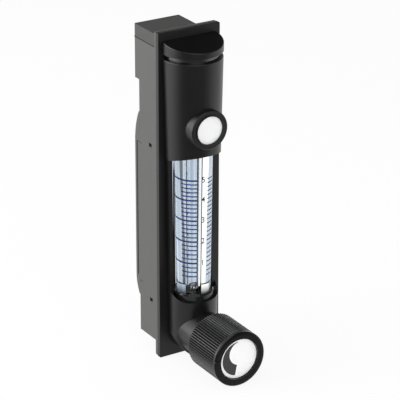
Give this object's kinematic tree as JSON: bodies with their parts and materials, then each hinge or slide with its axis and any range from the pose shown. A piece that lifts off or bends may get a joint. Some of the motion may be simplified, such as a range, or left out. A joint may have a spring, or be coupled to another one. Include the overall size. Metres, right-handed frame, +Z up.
{
  "type": "rotameter",
  "caption": "Upright rotameter with a clear graduated tube in a tapered black housing, round badge boss, threaded rear ports and a fluted needle-valve knob.",
  "frame": {"origin": "centre of the inlet port's mouth, on the rear face of the body", "axes": "+X to the reader's right, -Y out of the front towards the reader, +Z up along the tube"},
  "size_m": [0.0262, 0.0535, 0.13],
  "materials": {
    "plate_plastic": "fine satin black",
    "body_plastic": "fine satin black",
    "sleeve_plastic": "satin black, lightly grained",
    "knob_plastic": "semi-gloss black",
    "tube_glass": "clear, polished",
    "reflector_white": "matt white",
    "rubber_black": "moulded",
    "float_metal": "polished ball",
    "stop_plastic": "natural",
    "end_metal": "bright, smooth",
    "valve_metal": "turned",
    "steel": "turned",
    "disc_white": "smooth white",
    "screw_steel": "plain"
  },
  "bodies": {
    "housing": {"front_plate": "plate_plastic", "main_body": "body_plastic", "top_block": "body_plastic", "rear_cover": "body_plastic", "sleeve": "sleeve_plastic", "badge_disc": "disc_white", "top_cap": "sleeve_plastic", "end_block": "end_metal", "lower_shell": "sleeve_plastic", "metering_tube": "tube_glass", "reflector": "reflector_white", "tube_cup": "rubber_black", "tube_face_ring": "rubber_black", "tube_neck_ring": "rubber_black", "lower_float_stop": "stop_plastic", "upper_float_stop": "stop_plastic", "outlet_bush": "valve_metal", "valve_seat": "valve_metal", "valve_cartridge": "valve_metal", "gland_nut": "valve_metal", "gland_ring": "rubber_black", "lower_screws": "screw_steel", "upper_screws": "screw_steel"},
    "float": {"float_ball": "float_metal"},
    "knob": {"knob": "knob_plastic", "knob_disc": "disc_white", "knob_screw": "screw_steel", "spindle": "steel"},
    "needle": {"needle": "steel", "needle_ring": "rubber_black"}
  },
  "joints": [
    {"name": "float_rise", "type": "slide", "parent": "housing", "child": "float", "axis": [0, 0, 1], "range_m": [0, 0.0549]},
    {"name": "knob_turn", "type": "hinge", "parent": "housing", "child": "knob", "pos_m": [0.0024, -0.0319, -0.0055], "axis": [0, -1, 0], "range_deg": [0, 1440]},
    {"name": "needle_travel", "type": "slide", "parent": "housing", "child": "needle", "axis": [0, -1, 0], "range_m": [0, 0.00201]}
  ],
  "couplings": [
    {"joint": "needle_travel", "follows": "knob_turn", "m_per_rad": 0.000079577}
  ]
}
